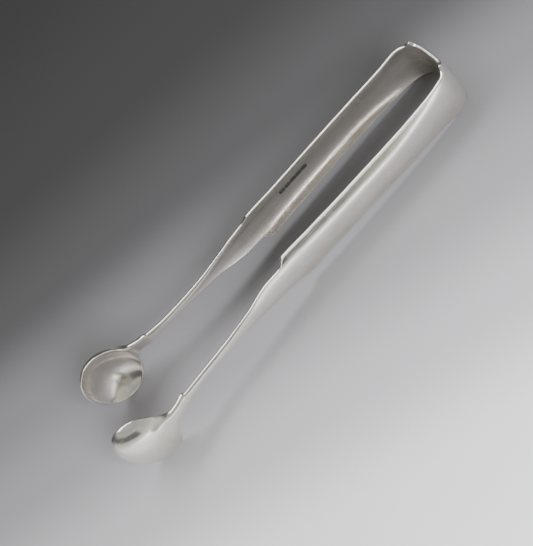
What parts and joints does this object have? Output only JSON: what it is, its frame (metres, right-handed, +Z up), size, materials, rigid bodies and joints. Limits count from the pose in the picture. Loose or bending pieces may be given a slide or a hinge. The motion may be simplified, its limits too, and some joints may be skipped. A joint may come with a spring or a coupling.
{
  "type": "ice tongs",
  "caption": "Sprung silver ice tongs: a U-shaped bow carries dished arms that taper to slim stems ending in cupped oval bowls that close on a cube of ice.",
  "frame": {"origin": "centre of the footprint, on the surface that the tongs lie on", "axes": "+X along the arms from the bowls to the bow, +Y from the right arm to the left arm, +Z up, away from the surface and across the strip's width"},
  "size_m": [0.1773, 0.0476, 0.0292],
  "materials": {
    "bow_silver": "polished sterling silver with light handling scratches",
    "arm_silver": "polished sterling silver, softly worn, with fine lengthwise scratches",
    "bowl_silver": "polished sterling silver with faint tarnish inside the cup"
  },
  "bodies": {
    "bow": {"bow_spring": "bow_silver"},
    "left_arm": {"arm_left": "arm_silver", "bowl_left": "bowl_silver"},
    "right_arm": {"arm_right": "arm_silver", "bowl_right": "bowl_silver"}
  },
  "joints": [
    {"name": "flex_left", "type": "hinge", "parent": "bow", "child": "left_arm", "pos_m": [0.06563, 0.01377, 0.01002], "axis": [0.0321, 0, 0.9995], "range_deg": [-4, 5.03], "stiffness_Nm_per_rad": 6.6},
    {"name": "flex_right", "type": "hinge", "parent": "bow", "child": "right_arm", "pos_m": [0.06563, -0.01377, 0.01002], "axis": [0.0321, 0, 0.9995], "range_deg": [-5.03, 4], "stiffness_Nm_per_rad": 6.6}
  ],
  "couplings": [
    {"joint": "flex_right", "follows": "flex_left", "ratio": -1}
  ]
}
